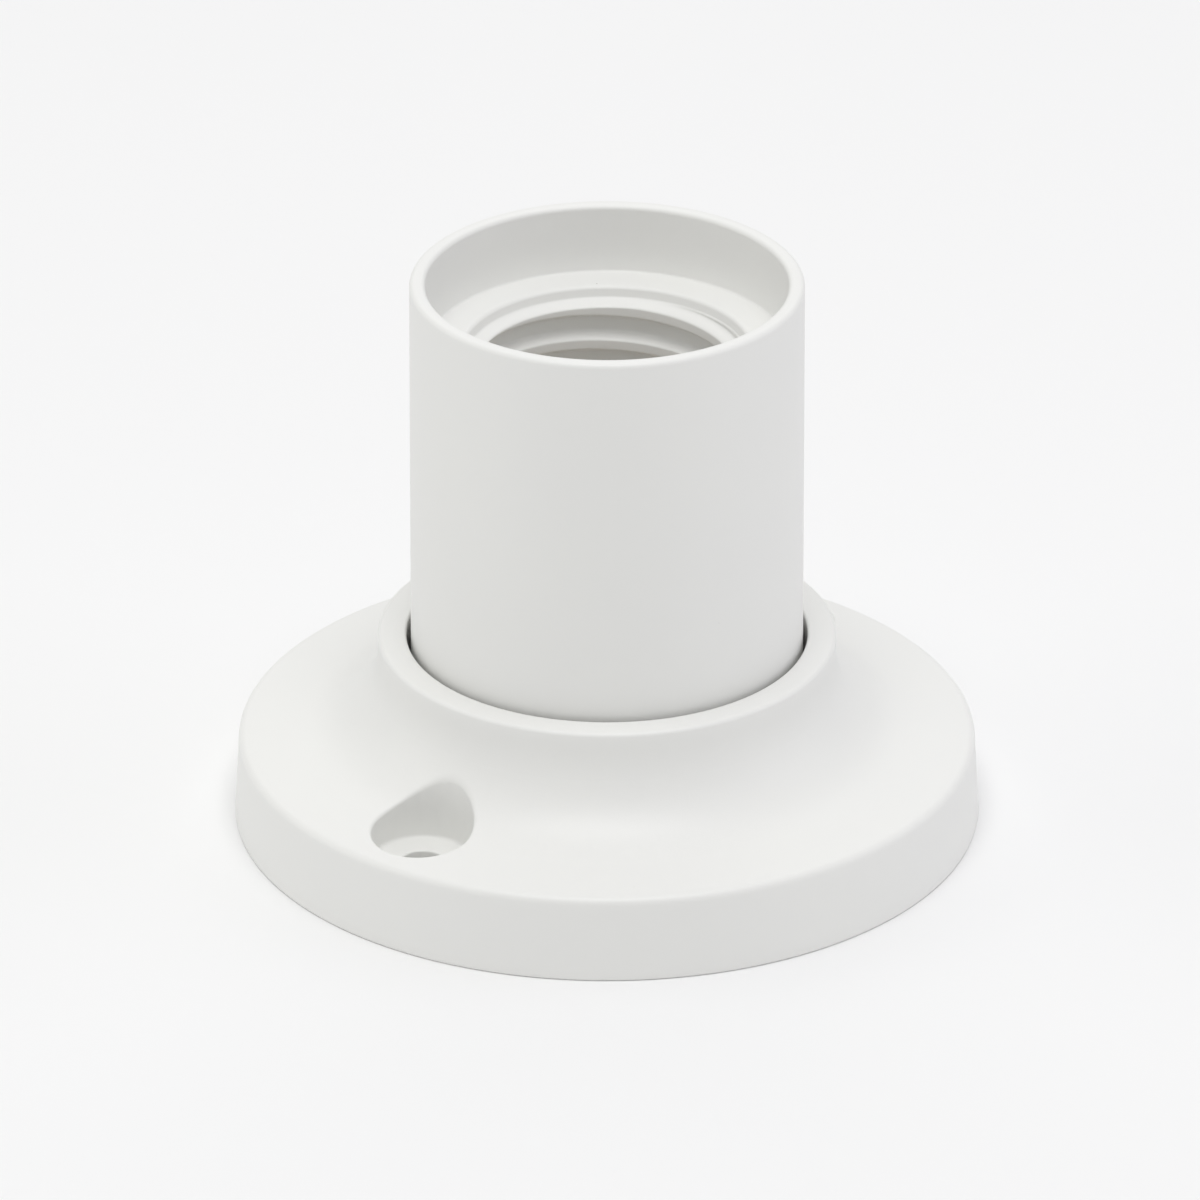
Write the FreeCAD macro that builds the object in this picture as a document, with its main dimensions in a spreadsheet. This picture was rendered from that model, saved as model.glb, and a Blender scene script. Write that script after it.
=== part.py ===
import FreeCAD, Part
import math
import os
import re

import Sketcher

# Surface-mounting straight lamp holder for the 27 mm screw cap.
# Frame: millimetres, +Z towards the lamp, origin in the middle of the mounting face,
# fixing holes on the X axis, sleeve fixing screws on the Y axis.

doc = FreeCAD.newDocument("lamp_holder")
sheet = doc.addObject("Spreadsheet::Sheet", "Sizes")

SIZES = [
    # base: the flared round foot
    ("foot_radius", "36.4"),
    ("rim_height", "8.45"),
    ("rim_taper", "0.5"),
    ("rim_bevel", "0.6"),
    ("top_slope", "6.3"),
    ("flare_radius", "8.0"),
    ("foot_wall", "2.2"),
    ("collar_radius", "22.3"),
    ("collar_height", "19.1"),
    ("collar_bevel", "0.3"),
    ("collar_wall", "1.8"),
    ("seat_height", "9.2"),
    ("seat_wall", "2.2"),
    ("wiring_hole_radius", "13.2"),
    # base: fixing holes, ribs and cable entries
    ("fixing_spacing", "57.5"),
    ("fixing_hole_radius", "2.1"),
    ("counterbore_radius", "4.9"),
    ("counterbore_floor", "5.7"),
    ("cup_wall", "1.5"),
    ("post_wall", "2.2"),
    ("rib_thickness", "1.4"),
    ("rib_count", "8"),
    ("rib_setback", "1.0"),
    ("entry_skin", "0.9"),
    ("entry_height", "5.0"),
    ("entry_angle", "15"),
    # sleeve: skirt, ledge and threaded barrel
    ("skirt_radius", "19.1"),
    ("skirt_taper", "0.17"),
    ("skirt_wall", "1.7"),
    ("skirt_top", "56.4"),
    ("mouth_radius", "17.4"),
    ("mouth_taper", "0.15"),
    ("mouth_bevel", "0.35"),
    ("collar_clearance", "0.4"),
    ("ledge_height", "49.5"),
    ("ledge_radius", "13.8"),
    ("ledge_wall", "1.6"),
    ("barrel_wall", "1.7"),
    ("barrel_foot", "28.6"),
    ("barrel_lip", "2.0"),
    # lamp thread: 27 mm knuckle thread, 7 turns to the inch
    ("thread_radius", "13.35"),
    ("crest_radius", "12.25"),
    ("thread_pitch", "3.629"),
    ("crest_land", "0.7"),
    ("root_land", "0.7"),
    ("thread_entry", "3.79"),
    ("entry_clearance", "0.05"),
    # sleeve fixing screws
    ("screw_reach", "16.2"),
    ("screw_boss_radius", "2.3"),
    ("screw_radius", "1.35"),
    ("screw_grip", "10"),
    ("screw_play", "0.35"),
    ("pilot_play", "0.05"),
    ("screw_head_radius", "2.9"),
    ("screw_head_height", "2.0"),
    # contact carrier
    ("carrier_radius", "13.6"),
    ("carrier_wall", "1.6"),
    ("carrier_depth", "6.6"),
    ("carrier_floor_wall", "3.8"),
    ("carrier_flange", "1.6"),
    ("carrier_play", "0.2"),
    ("boss_play", "0.25"),
    ("partition_wall", "1.5"),
    ("partition_foot", "10.4"),
    # contacts, rivets and terminals
    ("terminal_reach", "8.3"),
    ("terminal_angle", "45"),
    ("leaf_thickness", "0.4"),
    ("leaf_width", "6.0"),
    ("leaf_foot", "11.2"),
    ("leaf_bend", "5.2"),
    ("leaf_rise", "2.6"),
    ("leaf_angle", "45"),
    ("leaf_tip", "1.3"),
    ("stud_radius", "2.4"),
    ("stud_height", "1.0"),
    ("stud_bevel", "0.5"),
    ("stud_shank_radius", "0.95"),
    ("stud_foot_radius", "1.5"),
    ("stud_foot_height", "0.5"),
    ("strap_thickness", "0.5"),
    ("strap_width", "5.0"),
    ("strap_shoulder", "1.3"),
    ("strap_neck", "3.2"),
    ("strap_reach", "6.7"),
    ("tongue_height", "6.5"),
    ("tongue_lean", "7"),
    ("rivet_radius", "1.25"),
    ("rivet_head_radius", "2.1"),
    ("rivet_head_height", "0.6"),
    ("hole_play", "0.05"),
    ("plate_thickness", "1.0"),
    ("plate_radius", "3.3"),
    ("plate_recess", "0.5"),
    ("plate_play", "0.15"),
    ("plate_collar_radius", "2.6"),
    ("plate_collar_height", "1.2"),
    ("clamp_gap", "0.1"),
    ("clamp_radius", "3.4"),
    ("clamp_thickness", "0.8"),
    ("clamp_lip", "0.5"),
    ("terminal_screw_radius", "1.7"),
    ("terminal_screw_length", "4.6"),
    ("terminal_head_radius", "2.9"),
    ("terminal_head_height", "2.3"),
    ("slot_width", "0.8"),
    ("slot_depth", "1.1"),
    ("bore_play", "0.2"),
]

for row, (alias, value) in enumerate(SIZES, 1):
    sheet.set(f"A{row}", alias)
    sheet.set(f"B{row}", value)
    sheet.setAlias(f"B{row}", alias)
doc.recompute()

ALIASES = {alias for alias, value in SIZES}


def on_sheet(text):
    """A formula written with the sizes' names, in the form that the document's expressions take."""
    return re.sub(r"[a-z_]+", lambda name: f"Sizes.{name[0]}" if name[0] in ALIASES else name[0], text)


def amount(text):
    """The present value of a formula, in millimetres or degrees."""
    return float(sheet.evalExpression(on_sheet(text)))


def new_body(label):
    body = doc.addObject("PartDesign::Body", label)
    body.Label = label
    return body


def sketch_on(body, name, plane, lift="0", across="0"):
    """A sketch on one of the body's own planes, lifted off it and moved across it."""
    flat = [feature for feature in body.Origin.OriginFeatures if feature.Role == plane][0]
    sketch = body.newObject("Sketcher::SketchObject", name)
    sketch.AttachmentSupport = (flat, "")
    sketch.MapMode = "FlatFace"
    sketch.setExpression("AttachmentOffset.Base.x", on_sheet(across))
    sketch.setExpression("AttachmentOffset.Base.z", on_sheet(lift))
    return sketch


def fix_point(sketch, edge, end, x, y):
    """Ties one end of a sketch edge to its two distances from the sketch's origin."""
    for kind, formula in (("DistanceX", x), ("DistanceY", y)):
        tie = sketch.addConstraint(Sketcher.Constraint(kind, -1, 1, edge, end, amount(formula)))
        sketch.setExpression(f"Constraints[{tie}]", on_sheet(formula))


def outline(sketch, corners):
    """A closed outline through the corners, each given by two formulas.

    A corner with a third formula is reached by an arc of that radius. The arc's centre is to the left
    of the way to that corner, or to the right where the radius is negative.
    """
    here = [FreeCAD.Vector(amount(corner[0]), amount(corner[1]), 0) for corner in corners]
    count = len(corners)
    edges = []
    for k in range(count):
        start, end = here[k - 1], here[k]
        if len(corners[k]) == 2:
            edges.append(sketch.addGeometry(Part.LineSegment(start, end), False))
            continue
        radius = amount(corners[k][2])
        chord = end - start
        left = FreeCAD.Vector(-chord.y, chord.x, 0).normalize()
        rise = math.sqrt(radius**2 - (chord.Length / 2) ** 2)
        centre = (start + end) / 2 + left * math.copysign(rise, radius)
        first, last = (start, end) if radius > 0 else (end, start)
        a_first = math.atan2(first.y - centre.y, first.x - centre.x)
        a_last = math.atan2(last.y - centre.y, last.x - centre.x)
        circle = Part.Circle(centre, FreeCAD.Vector(0, 0, 1), abs(radius))
        edges.append(sketch.addGeometry(Part.ArcOfCircle(circle, a_first, a_last), False))
        tie = sketch.addConstraint(Sketcher.Constraint("Radius", edges[-1], abs(radius)))
        sketch.setExpression(f"Constraints[{tie}]", on_sheet(f"abs({corners[k][2]})"))

    def ends(k):
        backwards = len(corners[k]) == 3 and amount(corners[k][2]) < 0
        return (2, 1) if backwards else (1, 2)

    for k in range(count):
        after = (k + 1) % count
        joint = (edges[k], ends(k)[1], edges[after], ends(after)[0])
        sketch.addConstraint(Sketcher.Constraint("Coincident", *joint))
        fix_point(sketch, edges[k], ends(k)[1], corners[k][0], corners[k][1])


def circle(sketch, x, y, radius):
    """A circle given by formulas for its middle and its radius."""
    middle = FreeCAD.Vector(amount(x), amount(y), 0)
    edge = sketch.addGeometry(Part.Circle(middle, FreeCAD.Vector(0, 0, 1), amount(radius)), False)
    tie = sketch.addConstraint(Sketcher.Constraint("Radius", edge, amount(radius)))
    sketch.setExpression(f"Constraints[{tie}]", on_sheet(radius))
    fix_point(sketch, edge, 3, x, y)


def feature(body, kind, name, sketch, **formulas):
    """A PartDesign feature on a sketch, with its sizes bound to formulas."""
    made = body.newObject(f"PartDesign::{kind}", name)
    made.Profile = sketch
    for size, formula in formulas.items():
        made.setExpression(size, on_sheet(formula))
    return made


def turned(body, name, sketch, kind="Revolution", angle="360", middle=False):
    """The sketch turned round its own vertical axis."""
    made = feature(body, kind, name, sketch, Angle=angle)
    made.ReferenceAxis = (sketch, ["V_Axis"])
    made.Midplane = middle
    return made


def raised(body, name, sketch, height, middle=False):
    """The sketch padded along its plane's normal."""
    made = feature(body, "Pad", name, sketch, Length=height)
    made.Midplane = middle
    return made


def cut(body, name, sketch, height, middle=False):
    """The sketch cut out along its plane's normal, or to both sides of it."""
    made = feature(body, "Pocket", name, sketch, Length=height)
    made.Reversed = not middle
    made.Midplane = middle
    return made


def repeated(body, name, originals, sketch, count):
    """Features repeated round the normal through the sketch's origin."""
    made = body.newObject("PartDesign::PolarPattern", name)
    made.Originals = originals
    made.Axis = (sketch, ["N_Axis"])
    made.Angle = 360
    made.setExpression("Occurrences", on_sheet(count))
    body.Tip = made
    return made


def bevelled(body, name, size, rings):
    """Breaks the circular edges that lie at the given radii and heights."""
    doc.recompute()
    base = body.Tip
    wanted = [(amount(ring_radius), amount(height)) for ring_radius, height in rings]
    edges = []
    for number, edge in enumerate(base.Shape.Edges, 1):
        if type(edge.Curve).__name__ != "Circle":
            continue
        for ring_radius, height in wanted:
            at_height = abs(edge.Curve.Center.z - height) < 1e-4
            if at_height and abs(edge.Curve.Radius - ring_radius) < 1e-4:
                edges.append(f"Edge{number}")
    made = body.newObject("PartDesign::Chamfer", name)
    made.Base = (base, edges)
    made.setExpression("Size", on_sheet(size))
    return made


def placed(body, x="0", y="0", z="0", angle="0"):
    """Puts a finished body in its place, turned about +Z."""
    body.Placement = FreeCAD.Placement(FreeCAD.Vector(0, 0, 0), FreeCAD.Rotation(FreeCAD.Vector(0, 0, 1), 1))
    for axis, formula in (("x", x), ("y", y), ("z", z)):
        body.setExpression(f"Placement.Base.{axis}", on_sheet(formula))
    body.setExpression("Placement.Rotation.Angle", on_sheet(angle))


# Places that several pieces share.
fixing_reach = "(fixing_spacing / 2)"
collar_bore = "(skirt_radius + collar_clearance)"
seat_under = "(seat_height - seat_wall)"
flare_middle = "(collar_radius + flare_radius)"
rim_top_radius = "(foot_radius - rim_taper)"
slope_rise = f"({rim_top_radius} - {flare_middle}) * tan(top_slope)"
flare_centre = f"(rim_height + {slope_rise} + flare_radius / cos(top_slope))"
ledge_under = "(ledge_height - ledge_wall)"
carrier_floor = "(barrel_foot - carrier_depth)"
floor_under = f"({carrier_floor} - carrier_floor_wall)"
plate_under = f"({floor_under} + plate_recess - plate_thickness)"
clamp_under = f"({plate_under} - clamp_gap - clamp_lip - clamp_thickness)"
boss_sides = ("screw_reach", "-screw_reach")


def skin(depth):
    """The corners of the foot's skin at a depth under its outer face, from the rim to the flare's top."""
    bend = f"(flare_radius + {depth})"
    foot_of_flare = (
        f"{flare_middle} - {bend} * sin(top_slope)",
        f"{flare_centre} - {bend} * cos(top_slope)",
    )
    rim = f"({rim_top_radius} - {depth})"
    rim_corner = (rim, f"({foot_of_flare[1]}) - ({rim} - ({foot_of_flare[0]})) * tan(top_slope)")
    return rim_corner, foot_of_flare, bend


def make_base():
    """The moulded foot: hollow underneath, with a collar round the sleeve and a seat that carries it."""
    body = new_body("base")
    body.AllowCompound = True
    outer_rim, outer_flare, outer_bend = skin("0")
    middle_rim, middle_flare, middle_bend = skin("foot_wall / 2")
    inner_rim, inner_flare, inner_bend = skin("foot_wall")
    core = f"({collar_bore} + collar_wall)"

    # ribs between the collar and the rim, and a cup and a post under each fixing hole
    ribs = sketch_on(body, "rib_plan", "XY_Plane", lift="rib_setback")
    rib_start = f"({core} - collar_wall / 2)"
    rib_end = f"({rim_top_radius} - foot_wall / 2)"
    half_turn = "(180 / rib_count)"
    half_rib = "(rib_thickness / 2)"
    outline(ribs, [
        (
            f"{reach} * cos{half_turn} - {side} * {half_rib} * sin{half_turn}",
            f"{reach} * sin{half_turn} + {side} * {half_rib} * cos{half_turn}",
        )
        for reach, side in ((rib_start, "-1"), (rib_end, "-1"), (rib_end, "1"), (rib_start, "1"))
    ])
    rib = raised(body, "rib", ribs, f"{flare_centre} - rib_setback")
    repeated(body, "ribs", [rib], ribs, "rib_count")

    cups = sketch_on(body, "cup_plan", "XY_Plane", lift="counterbore_floor - cup_wall")
    posts = sketch_on(body, "post_plan", "XY_Plane")
    for side in (fixing_reach, f"-{fixing_reach}"):
        circle(cups, side, "0", "counterbore_radius + cup_wall")
        circle(posts, side, "0", "fixing_hole_radius + post_wall")
    raised(body, "cups", cups, f"{flare_centre} - counterbore_floor + cup_wall")
    raised(body, "posts", posts, "counterbore_floor - cup_wall / 2")

    # all of these end inside the thickness of the foot's wall
    above = sketch_on(body, "outside", "XZ_Plane")
    outline(above, [
        middle_rim,
        ("foot_radius + foot_wall", middle_rim[1]),
        ("foot_radius + foot_wall", "collar_height + foot_wall"),
        ("collar_radius - foot_wall / 2", "collar_height + foot_wall"),
        ("collar_radius - foot_wall / 2", flare_centre),
        (*middle_flare, middle_bend),
    ])
    turned(body, "trim", above, kind="Groove")

    # the foot's wall is a bent sheet: the flare's underside is made of two cones
    section = sketch_on(body, "foot_section", "XZ_Plane")
    half_way = f"(({inner_flare[0]} + {core}) / 2)"
    outline(section, [
        ("foot_radius", "0"),
        outer_rim,
        outer_flare,
        ("collar_radius", flare_centre, f"-{outer_bend}"),
        ("collar_radius", "collar_height"),
        (collar_bore, "collar_height"),
        (collar_bore, "seat_height"),
        ("wiring_hole_radius", "seat_height"),
        ("wiring_hole_radius", seat_under),
        (core, seat_under),
        (core, f"{flare_centre} - sqrt({inner_bend} ^ 2 - ({flare_middle} - {core}) ^ 2)"),
        (half_way, f"{flare_centre} - sqrt({inner_bend} ^ 2 - ({flare_middle} - {half_way}) ^ 2)"),
        inner_flare,
        inner_rim,
        ("foot_radius - foot_wall", "0"),
    ])
    turned(body, "foot_shell", section)

    heads = sketch_on(body, "counterbore_plan", "XY_Plane", lift="counterbore_floor")
    holes = sketch_on(body, "fixing_hole_plan", "XY_Plane")
    for side in (fixing_reach, f"-{fixing_reach}"):
        circle(heads, side, "0", "counterbore_radius")
        circle(holes, side, "0", "fixing_hole_radius")
    cut(body, "counterbores", heads, "collar_height")
    cut(body, "fixing_holes", holes, "collar_height")

    screws = sketch_on(body, "sleeve_screw_plan", "XY_Plane")
    for side in boss_sides:
        circle(screws, "0", side, "screw_radius + screw_play")
    cut(body, "sleeve_screw_holes", screws, "seat_height + seat_wall")

    # thinned panels in the rim, to be broken out for a surface cable
    entry = sketch_on(body, "entry_section", "YZ_Plane")
    outline(entry, [
        ("foot_radius - 2 * foot_wall", "0"),
        ("foot_radius - entry_skin", "0"),
        (f"{rim_top_radius} - entry_skin", "entry_height"),
        ("foot_radius - 2 * foot_wall", "entry_height"),
    ])
    panel = turned(body, "cable_entry", entry, kind="Groove", angle="entry_angle", middle=True)
    repeated(body, "cable_entries", [panel], posts, "2")

    bevelled(body, "rim_edge", "rim_bevel", [outer_rim])
    bevelled(body, "collar_edge", "collar_bevel", [("collar_radius", "collar_height")])
    return body


def make_sleeve():
    """The skirt and the threaded barrel, one moulding joined at the ledge and open below."""
    body = new_body("sleeve")
    relief = "(thread_radius + entry_clearance)"
    bevel = f"(ledge_radius - {relief})"
    crest_top = f"ledge_height - 2 * {bevel} - (thread_radius - crest_radius) * 2 / 3"

    section = sketch_on(body, "sleeve_section", "XZ_Plane")
    outline(section, [
        ("skirt_radius", "seat_height"),
        ("skirt_radius - skirt_taper", "skirt_top"),
        ("mouth_radius", "skirt_top"),
        ("mouth_radius - mouth_taper", "ledge_height"),
        ("ledge_radius", "ledge_height"),
        (relief, f"ledge_height - {bevel}"),
        (relief, f"ledge_height - 2 * {bevel}"),
        ("crest_radius", crest_top),
        ("crest_radius", "barrel_foot + barrel_lip"),
        ("crest_radius - entry_clearance", "barrel_foot + barrel_lip"),
        ("crest_radius - entry_clearance", "barrel_foot"),
        ("thread_radius + barrel_wall", "barrel_foot"),
        ("thread_radius + barrel_wall", ledge_under),
        ("mouth_radius - mouth_taper", ledge_under),
        ("skirt_radius - skirt_wall", "seat_height"),
    ])
    turned(body, "sleeve_shell", section)

    bosses = sketch_on(body, "boss_plan", "XY_Plane", lift="seat_height")
    pilots = sketch_on(body, "pilot_plan", "XY_Plane", lift="seat_height")
    for side in boss_sides:
        circle(bosses, "0", side, "screw_boss_radius")
        circle(pilots, "0", side, "screw_radius + pilot_play")
    raised(body, "screw_bosses", bosses, "ledge_height - ledge_wall / 2 - seat_height")
    cut(body, "pilot_holes", pilots, "screw_grip + 2 * screw_radius")
    bevelled(body, "mouth_edges", "mouth_bevel", [
        ("mouth_radius", "skirt_top"),
        ("skirt_radius - skirt_taper", "skirt_top"),
    ])

    # the groove starts a whole number of turns below its first root, clear of the plain lip at the foot
    depth = "(thread_radius - crest_radius)"
    mouth = "((thread_pitch - crest_land) / 2)"
    room = f"(ledge_height - thread_entry - barrel_foot - barrel_lip - {mouth})"
    start = f"(ledge_height - thread_entry - thread_pitch * floor({room} / thread_pitch))"
    slope = f"(({mouth} - root_land / 2) / {depth})"
    groove = sketch_on(body, "groove_section", "XZ_Plane")
    overcut = f"({depth} / 3)"
    outline(groove, [
        ("thread_radius", f"{start} - root_land / 2"),
        ("thread_radius", f"{start} + root_land / 2"),
        (f"crest_radius - {overcut}", f"{start} + {mouth} + {slope} * {overcut}"),
        (f"crest_radius - {overcut}", f"{start} - {mouth} - {slope} * {overcut}"),
    ])
    thread = body.newObject("PartDesign::SubtractiveHelix", "lamp_thread")
    thread.Profile = groove
    thread.ReferenceAxis = (groove, ["V_Axis"])
    thread.Mode = "pitch-height-angle"
    thread.Angle = 0
    thread.LeftHanded = False
    thread.setExpression("Pitch", on_sheet("thread_pitch"))
    thread.setExpression("Height", on_sheet(f"ledge_height + thread_pitch / 2 - {start}"))
    return body


def make_contact_carrier():
    """The heat-resistant insert: contacts above its floor, terminals below it in two chambers."""
    body = new_body("contact_carrier")
    inside = "(carrier_radius - carrier_wall)"
    top = "(barrel_foot - carrier_play)"
    seat_flange = "(skirt_radius - skirt_wall - 2 * carrier_play)"
    section = sketch_on(body, "carrier_section", "XZ_Plane")
    outline(section, [
        (inside, "seat_height"),
        (seat_flange, "seat_height"),
        (seat_flange, "seat_height + carrier_flange"),
        ("carrier_radius", "seat_height + carrier_flange"),
        ("carrier_radius", f"{top} - carrier_flange"),
        ("thread_radius + barrel_wall", f"{top} - carrier_flange"),
        ("thread_radius + barrel_wall", top),
        (inside, top),
        (inside, carrier_floor),
        ("0", carrier_floor),
        ("0", floor_under),
        (inside, floor_under),
    ])
    turned(body, "carrier_shell", section)

    # blind bores for the terminal screws' ends, wider at the mouth for the plates' collars
    shank_bore = "(terminal_screw_radius + bore_play)"
    bore_depth = f"({clamp_under} + terminal_screw_length + bore_play - {floor_under})"
    bores = sketch_on(body, "screw_bore_plan", "XY_Plane", lift=floor_under)
    seats = sketch_on(body, "collar_seat_plan", "XY_Plane", lift=floor_under)
    rivets = sketch_on(body, "rivet_hole_plan", "XY_Plane", lift=floor_under)
    for way in ("", "-"):
        spot = (f"{way}terminal_reach * cos(terminal_angle)", f"{way}terminal_reach * sin(terminal_angle)")
        circle(bores, *spot, shank_bore)
        circle(seats, *spot, "plate_collar_radius + bore_play")
        circle(rivets, f"{way}terminal_reach", "0", "rivet_radius + hole_play")

    partition = sketch_on(body, "partition_plan", "XY_Plane", lift="partition_foot")
    across = ("cos(terminal_angle / 2)", "sin(terminal_angle / 2)")
    half = "(partition_wall / 2)"
    far = "(carrier_radius - carrier_wall / 2)"
    outline(partition, [
        (
            f"{way} * {half} * {across[0]} - {end} * {far} * {across[1]}",
            f"{way} * {half} * {across[1]} + {end} * {far} * {across[0]}",
        )
        for way, end in (("-1", "-1"), ("1", "-1"), ("1", "1"), ("-1", "1"))
    ])
    raised(body, "partition", partition, f"{floor_under} - partition_foot + carrier_floor_wall / 2")

    cut(body, "screw_bores", bores, bore_depth)
    cut(body, "collar_seats", seats, "plate_recess + plate_collar_height + bore_play")
    cut(body, "rivet_holes", rivets, "carrier_floor_wall")

    # recesses that stop the terminal plates from turning
    recess = sketch_on(body, "recess_plan", "XY_Plane", lift=floor_under)
    for way in (1, -1):
        stadium(recess, "(plate_radius + plate_play)", way)
    cut(body, "plate_recesses", recess, "plate_recess")

    notches = sketch_on(body, "notch_plan", "XY_Plane")
    for side in boss_sides:
        circle(notches, "0", side, "screw_boss_radius + boss_play")
    cut(body, "boss_notches", notches, "skirt_top")
    return body


def stadium(sketch, radius, way):
    """The round-ended outline round one rivet and its terminal screw, on the +X or the -X side."""
    lean = "(90 + terminal_angle / 2)"
    near = (f"{way} * terminal_reach", "0")
    far = (f"{way} * terminal_reach * cos(terminal_angle)", f"{way} * terminal_reach * sin(terminal_angle)")
    side = (f"{radius} * sin{lean}", f"{radius} * cos{lean}")
    outline(sketch, [
        (f"{far[0]} + {way} * {side[0]}", f"{far[1]} - {way} * {side[1]}"),
        (f"{far[0]} + {way} * {radius} * cos{lean}", f"{far[1]} + {way} * {radius} * sin{lean}", radius),
        (f"{far[0]} - {way} * {side[0]}", f"{far[1]} + {way} * {side[1]}", radius),
        (f"{near[0]} - {way} * {side[0]}", f"{near[1]} + {way} * {side[1]}"),
        (f"{near[0]} - {way} * {radius} * cos{lean}", f"{near[1]} - {way} * {radius} * sin{lean}", radius),
        (f"{near[0]} + {way} * {side[0]}", f"{near[1]} - {way} * {side[1]}", radius),
    ])


def make_centre_leaf():
    """The bronze leaf: riveted by its foot and bent up under the lamp, with a turned-down tip."""
    body = new_body("centre_contact_leaf")
    miter = "(leaf_thickness * tan(leaf_angle / 2))"
    shoulder = "(leaf_bend - leaf_rise / tan(leaf_angle))"
    tip = (f"-{shoulder} - leaf_tip * cos(leaf_angle)", "leaf_rise - leaf_tip * sin(leaf_angle)")
    strip = sketch_on(body, "bent_strip", "XZ_Plane")
    outline(strip, [
        ("leaf_foot", "0"),
        ("leaf_foot", "leaf_thickness"),
        (f"leaf_bend + {miter}", "leaf_thickness"),
        (f"{shoulder} + {miter}", "leaf_rise + leaf_thickness"),
        (f"-{shoulder} - {miter}", "leaf_rise + leaf_thickness"),
        (f"{tip[0]} - leaf_thickness * sin(leaf_angle)", f"{tip[1]} + leaf_thickness * cos(leaf_angle)"),
        tip,
        (f"-{shoulder}", "leaf_rise"),
        (shoulder, "leaf_rise"),
        ("leaf_bend", "0"),
    ])
    raised(body, "leaf", strip, "leaf_width", middle=True)
    holes = sketch_on(body, "leaf_holes", "XY_Plane")
    circle(holes, "terminal_reach", "0", "rivet_radius + hole_play")
    circle(holes, "0", "0", "stud_shank_radius + hole_play")
    cut(body, "holes", holes, "2 * leaf_rise")
    placed(body, z=carrier_floor)
    return body


def make_centre_stud():
    """The domed contact button, riveted through the leaf's raised middle."""
    body = new_body("centre_contact_stud")
    section = sketch_on(body, "stud_section", "XZ_Plane")
    outline(section, [
        ("0", "-stud_foot_height"),
        ("stud_foot_radius", "-stud_foot_height"),
        ("stud_foot_radius", "0"),
        ("stud_shank_radius", "0"),
        ("stud_shank_radius", "leaf_thickness"),
        ("stud_radius", "leaf_thickness"),
        ("stud_radius", "leaf_thickness + stud_height - stud_bevel"),
        ("stud_radius - stud_bevel", "leaf_thickness + stud_height"),
        ("0", "leaf_thickness + stud_height"),
    ])
    turned(body, "stud", section)
    placed(body, z=f"{carrier_floor} + leaf_rise")
    return body


def make_side_contact():
    """The brass strap with a spring tongue bent up at each end, for the lamp cap's shell."""
    body = new_body("side_contact")
    lean = "(tongue_height * tan(tongue_lean))"
    wide = "(strap_thickness / cos(tongue_lean))"
    inner = f"(strap_reach - {wide})"
    strip = sketch_on(body, "bent_strap", "YZ_Plane", lift="-terminal_reach")
    outline(strip, [
        ("strap_reach", "0"),
        (f"strap_reach - {lean}", "tongue_height"),
        (f"{inner} - {lean}", "tongue_height"),
        (f"{inner} - strap_thickness * tan(tongue_lean)", "strap_thickness"),
        (f"-{inner} + strap_thickness * tan(tongue_lean)", "strap_thickness"),
        (f"-{inner} + {lean}", "tongue_height"),
        (f"-strap_reach + {lean}", "tongue_height"),
        ("-strap_reach", "0"),
    ])
    raised(body, "strap", strip, "strap_width", middle=True)
    corners = sketch_on(body, "shoulder_plan", "XY_Plane")
    far = "(terminal_reach + strap_width)"
    near = "(terminal_reach + strap_width / 2 - strap_shoulder)"
    for way in ("", "-"):
        outline(corners, [
            (f"-{far}", f"{way}strap_neck"),
            (f"-{near}", f"{way}strap_neck"),
            (f"-{near}", f"{way}strap_reach * 2"),
            (f"-{far}", f"{way}strap_reach * 2"),
        ])
    cut(body, "shoulders", corners, "2 * tongue_height")
    hole = sketch_on(body, "strap_hole", "XY_Plane")
    circle(hole, "-terminal_reach", "0", "rivet_radius + hole_play")
    cut(body, "hole", hole, "strap_thickness")
    placed(body, z=carrier_floor)
    return body


def make_rivet(label, turn, contact_thickness):
    """A brass rivet through a contact, the carrier's floor and the terminal plate."""
    body = new_body(label)
    top = f"({carrier_floor} + {contact_thickness} - {plate_under})"
    section = sketch_on(body, "rivet_section", "XZ_Plane")
    outline(section, [
        ("0", "-rivet_head_height"),
        ("rivet_head_radius", "-rivet_head_height"),
        ("rivet_head_radius", "0"),
        ("rivet_radius", "0"),
        ("rivet_radius", top),
        ("rivet_head_radius", top),
        ("rivet_head_radius - rivet_head_height", f"{top} + rivet_head_height"),
        ("0", f"{top} + rivet_head_height"),
    ])
    turned(body, "rivet", section)
    placed(body, f"terminal_reach * cos({turn})", f"terminal_reach * sin({turn})", plate_under, turn)
    return body


def make_terminal_plate(label, turn):
    """The brass plate, with a threaded collar drawn up from it for the terminal screw."""
    body = new_body(label)
    plan = sketch_on(body, "plate_plan", "XY_Plane")
    stadium(plan, "plate_radius", 1)
    raised(body, "plate", plan, "plate_thickness")
    spot = ("terminal_reach * cos(terminal_angle)", "terminal_reach * sin(terminal_angle)")
    collar = sketch_on(body, "collar_plan", "XY_Plane")
    circle(collar, *spot, "plate_collar_radius")
    raised(body, "drawn_collar", collar, "plate_thickness + plate_collar_height")
    holes = sketch_on(body, "plate_holes", "XY_Plane")
    circle(holes, *spot, "terminal_screw_radius + hole_play")
    circle(holes, "terminal_reach", "0", "rivet_radius + hole_play")
    cut(body, "holes", holes, "plate_thickness + 2 * plate_collar_height")
    placed(body, z=plate_under, angle=turn)
    return body


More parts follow.
